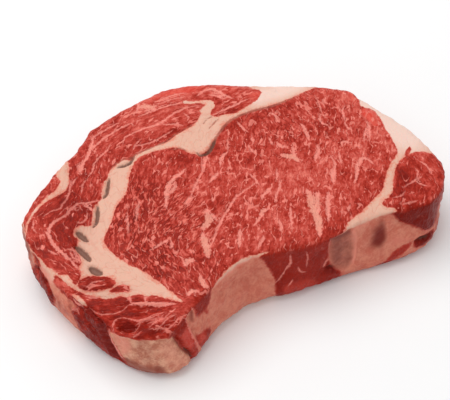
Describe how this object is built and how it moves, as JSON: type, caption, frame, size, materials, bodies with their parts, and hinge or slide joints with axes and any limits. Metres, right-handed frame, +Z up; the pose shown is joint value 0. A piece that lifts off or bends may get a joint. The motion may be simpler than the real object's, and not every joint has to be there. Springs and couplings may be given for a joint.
{
  "type": "raw ribeye steak",
  "caption": "Thick raw boneless ribeye steak lying flat: a marbled eye, a cap muscle round it, a broad seam of fat between, and a drooping tail",
  "frame": {"origin": "under the middle of the steak's box, on the surface it lies on", "axes": "+Z up out of the upper cut face, +X along the steak's length away from the tail, +Y towards the cap muscle's outer edge"},
  "size_m": [0.1848, 0.1286, 0.0308],
  "materials": {
    "meat": "moist raw beef: dark red lean with pale pink fat seams and fine marbling"
  },
  "bodies": {
    "root": {"steak": "meat"}
  },
  "joints": []
}
